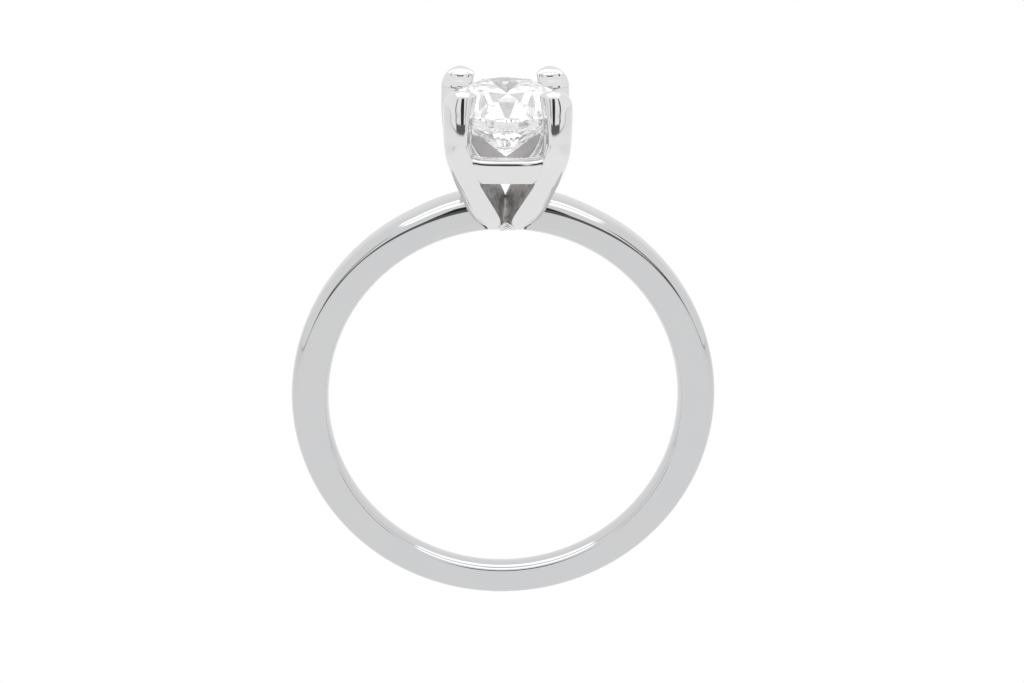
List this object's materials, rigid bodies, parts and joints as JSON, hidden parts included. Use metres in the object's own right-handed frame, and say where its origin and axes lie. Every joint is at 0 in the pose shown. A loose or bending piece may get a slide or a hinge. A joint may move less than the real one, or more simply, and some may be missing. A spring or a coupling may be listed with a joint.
{
  "type": "engagement ring",
  "caption": "Solitaire engagement ring: polished white-metal band, tapered claw head with cross bars, round brilliant stone.",
  "frame": {"origin": "centre of the finger hole, at the middle of the band's width", "axes": "+Y along the finger, from the side shown to the back; +Z from the hole's centre to the stone; +X to the right of the side shown"},
  "size_m": [0.0206, 0.0062, 0.0259],
  "materials": {
    "white_gold": "mirror polished, rhodium-plated white gold",
    "solder": "bright, as flowed",
    "diamond": "clear, faceted and polished"
  },
  "bodies": {
    "root": {"shank": "white_gold", "prong_front_left": "white_gold", "prong_front_right": "white_gold", "prong_back_left": "white_gold", "prong_back_right": "white_gold", "gallery_bar_front": "white_gold", "gallery_bar_right": "white_gold", "gallery_bar_back": "white_gold", "gallery_bar_left": "white_gold", "head_base": "white_gold", "solder_bead_front": "solder", "solder_bead_back": "solder", "diamond": "diamond"}
  },
  "joints": []
}
